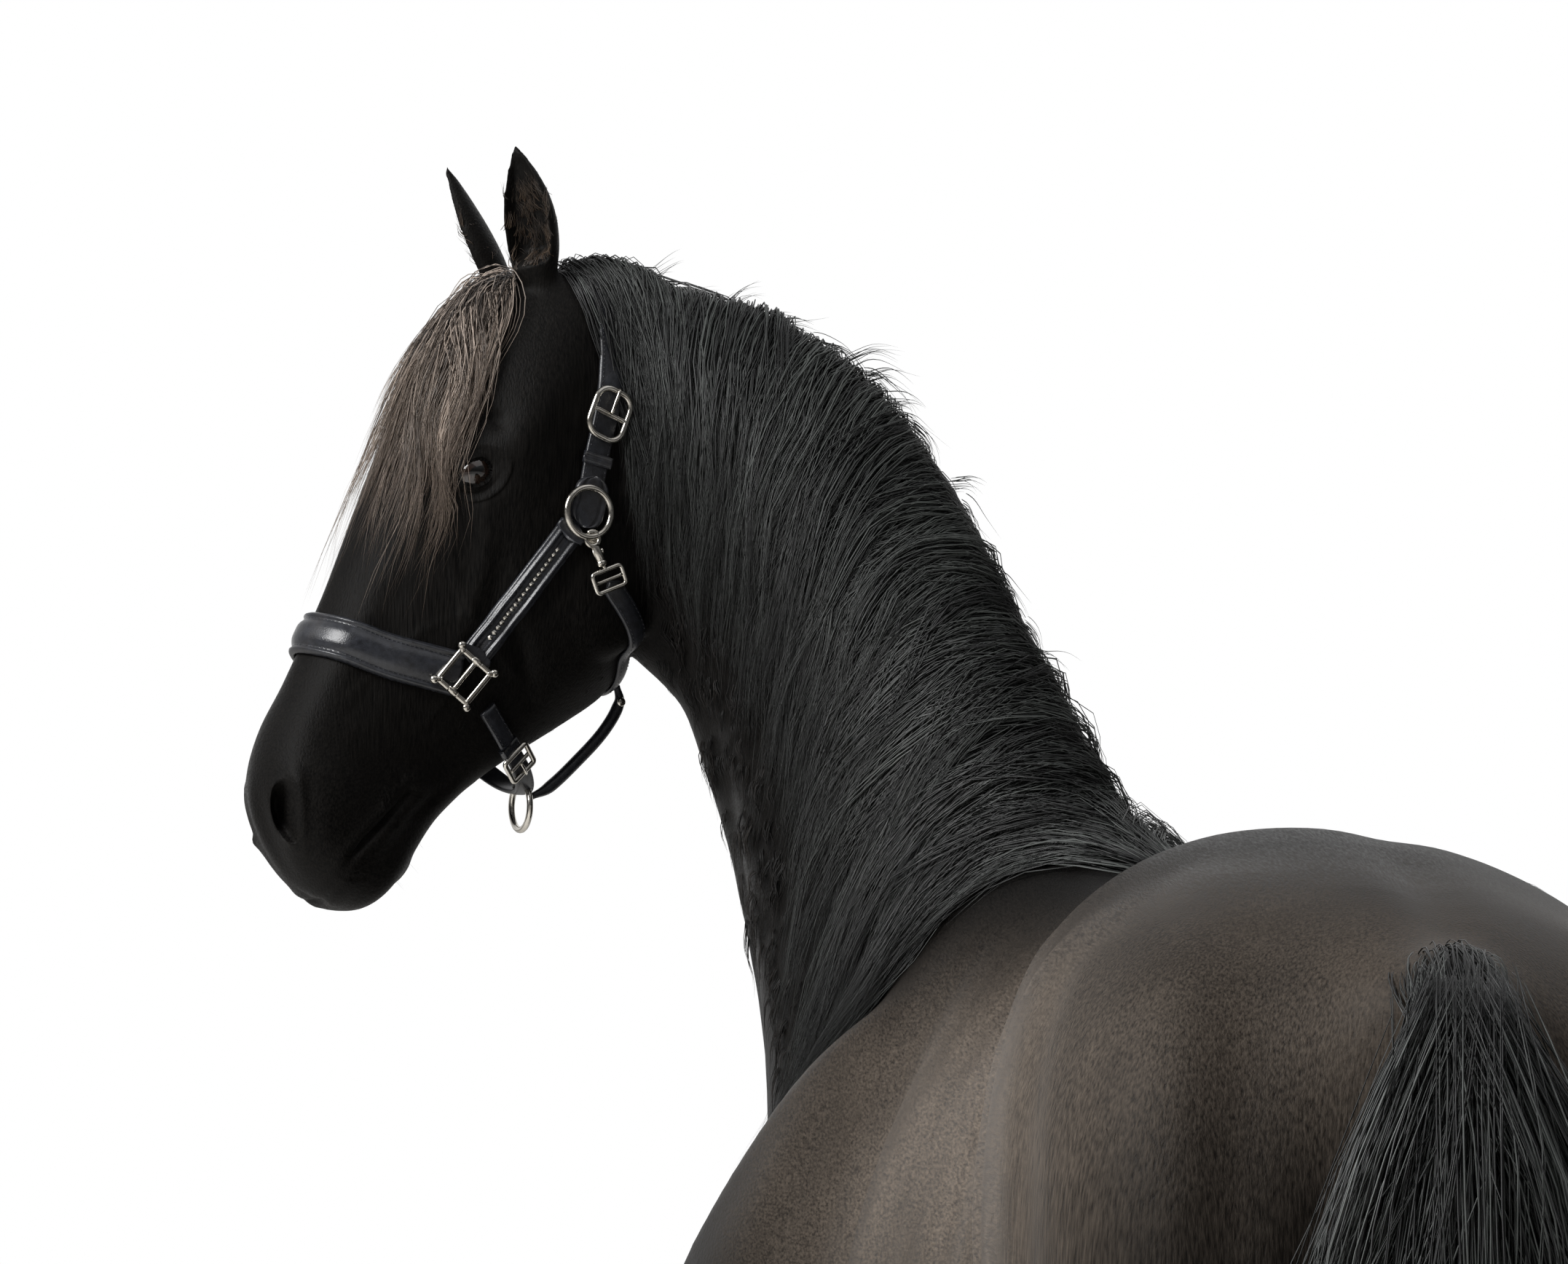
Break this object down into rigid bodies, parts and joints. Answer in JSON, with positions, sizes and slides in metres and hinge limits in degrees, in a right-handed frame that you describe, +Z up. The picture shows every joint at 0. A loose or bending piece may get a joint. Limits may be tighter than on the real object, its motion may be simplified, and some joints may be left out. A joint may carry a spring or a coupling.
{
  "type": "horse",
  "caption": "Life-size black Friesian horse standing square with its arched neck and head turned back over its left shoulder, long mane, tail and leg feathers, in a leather halter.",
  "frame": {"origin": "on the floor, below the middle of the bounding box", "axes": "+Z up; the hindquarters face +Y and the trunk points to -Y, curving towards +X, the horse's left, as it goes forward"},
  "size_m": [1.1748, 1.863, 2.261],
  "materials": {
    "coat": "short sleek black coat",
    "hair": "long black hair",
    "horn": "dark hoof horn",
    "eye": "wet dark eye",
    "leather": "polished black leather",
    "steel": "polished nickel"
  },
  "bodies": {
    "root": {"torso": "coat", "neck": "coat", "head": "coat", "ear_left": "coat", "ear_right": "coat", "foreleg_left": "coat", "foreleg_right": "coat", "hindleg_left": "coat", "hindleg_right": "coat", "tail": "hair", "hoof_fore_left": "horn", "hoof_fore_right": "horn", "hoof_hind_left": "horn", "hoof_hind_right": "horn", "eye_left": "eye", "eye_right": "eye", "noseband": "leather", "crown_strap": "leather", "throat_strap": "leather", "cheek_strap_left": "leather", "cheek_strap_right": "leather", "chin_strap": "leather", "jaw_cord": "leather", "cheek_ring_left": "steel", "cheek_ring_right": "steel", "cheek_square_left": "steel", "cheek_square_right": "steel", "throat_snap_left": "steel", "throat_snap_right": "steel", "crown_buckle": "steel", "chin_ring": "steel"}
  },
  "joints": []
}
